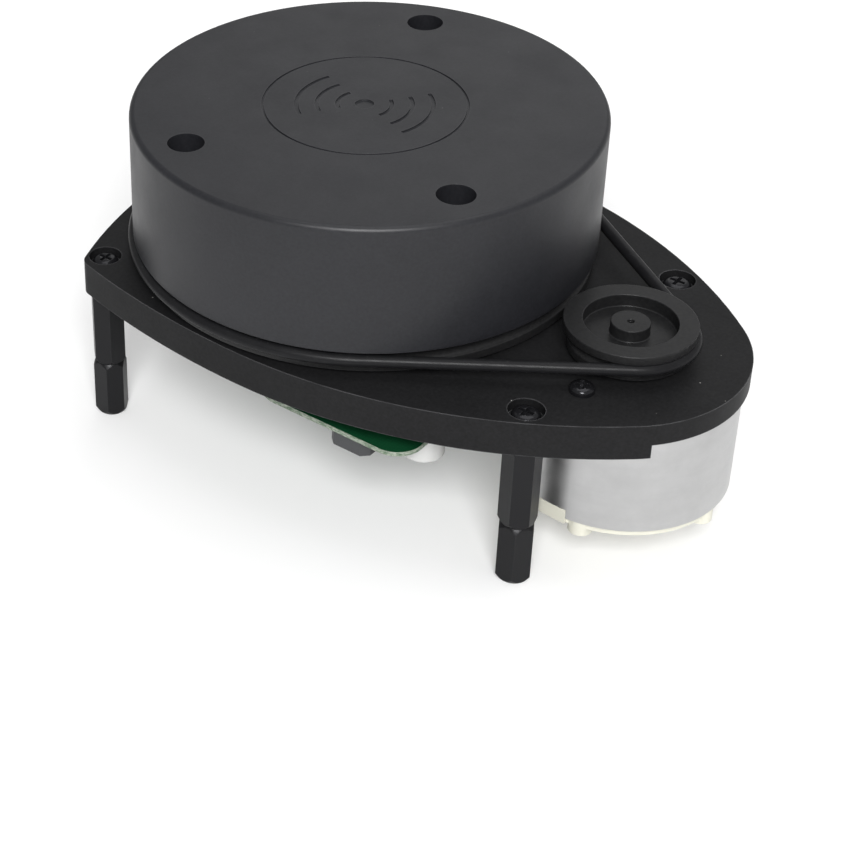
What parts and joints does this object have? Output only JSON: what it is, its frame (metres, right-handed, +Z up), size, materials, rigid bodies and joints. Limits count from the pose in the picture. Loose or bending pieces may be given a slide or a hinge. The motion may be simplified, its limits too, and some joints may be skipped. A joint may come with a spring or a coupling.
{
  "type": "lidar scanner module",
  "caption": "Small turning laser range scanner: a round black turret driven by a rubber cord from a motor, on a legged plate.",
  "frame": {"origin": "where the turret axis meets the plane of the four feet", "axes": "+Z up along the turret axis, +X from the turret axis to the motor axis"},
  "size_m": [0.0984, 0.0716, 0.0546],
  "materials": {
    "plate_black": "satin moulded",
    "cover_black": "satin moulded",
    "dark_plastic": "matte",
    "belt_rubber": "soft sheen",
    "leg_metal": "black plated",
    "screw_black": "black plated gloss",
    "screw_steel": "nickel plated",
    "can_steel": "brushed",
    "cap_nylon": "nylon",
    "magnet": "sintered",
    "bronze": "sintered bronze",
    "carbon": "dull",
    "contact_brass": "polished",
    "board_green": "solder mask",
    "connector_white": "nylon",
    "wire_sleeve": "soft vinyl",
    "ferrite": "ferrite",
    "can_white": "bright",
    "chip_black": "epoxy",
    "ceramic_chip": "ceramic",
    "bearing_steel": "ground",
    "spring_steel": "oiled",
    "cage_brass": "stamped",
    "lens_glass": "coated",
    "barrel_black": "anodised matte",
    "shaft_steel": "ground",
    "lamination": "stacked sheet",
    "copper": "enamelled copper"
  },
  "bodies": {
    "base": {"base_plate": "plate_black", "corner_screws": "screw_black", "upper_standoffs": "leg_metal", "lower_standoffs": "leg_metal", "motor_can": "can_steel", "motor_end_cap": "cap_nylon", "motor_magnets": "magnet", "motor_bushes": "bronze", "motor_brushes": "carbon", "motor_terminals": "contact_brass", "motor_screws": "screw_black", "drive_belt": "belt_rubber", "main_board": "board_green", "board_screws": "screw_steel", "data_connector": "connector_white", "data_pins": "contact_brass", "motor_connector": "connector_white", "motor_wires": "wire_sleeve", "power_inductor": "ferrite", "bulk_capacitor": "can_white", "controller_chip": "chip_black", "board_small_parts": "ceramic_chip", "brush_holder": "dark_plastic", "slip_ring_brushes": "contact_brass", "encoder_comb": "dark_plastic", "bearing_inner_race": "bearing_steel", "bearing_clip": "spring_steel"},
    "turret": {"bearing_outer_race": "bearing_steel", "turntable": "dark_plastic", "turret_cover": "cover_black", "cover_screws": "screw_black", "slip_ring_core": "cap_nylon", "slip_rings": "contact_brass", "encoder_sensor": "dark_plastic", "turret_board": "board_green", "turret_board_screws": "screw_steel", "signal_processor": "chip_black", "optics_bracket": "dark_plastic", "bracket_screws": "screw_steel", "laser_barrel": "contact_brass", "laser_lens": "lens_glass", "laser_diode": "contact_brass", "receiver_barrel": "barrel_black", "receiver_lens": "lens_glass", "sensor_board": "board_green", "image_sensor": "chip_black"},
    "ball_cage": {"bearing_balls": "bearing_steel", "bearing_cage": "cage_brass"},
    "motor_rotor": {"motor_shaft": "shaft_steel", "motor_pulley": "dark_plastic", "rotor_core": "lamination", "rotor_windings": "copper", "commutator": "copper"}
  },
  "joints": [
    {"name": "turret_spin", "type": "hinge", "parent": "base", "child": "turret", "pos_m": [0, 0, 0.0347], "axis": [0, 0, 1], "continuous": true},
    {"name": "motor_spin", "type": "hinge", "parent": "base", "child": "motor_rotor", "pos_m": [0.0453, 0, 0.0326], "axis": [0, 0, 1], "continuous": true},
    {"name": "cage_spin", "type": "hinge", "parent": "base", "child": "ball_cage", "pos_m": [0, 0, 0.0347], "axis": [0, 0, 1], "continuous": true}
  ],
  "couplings": [
    {"joint": "motor_spin", "follows": "turret_spin", "ratio": 3.9659},
    {"joint": "cage_spin", "follows": "turret_spin", "ratio": 0.5673}
  ]
}
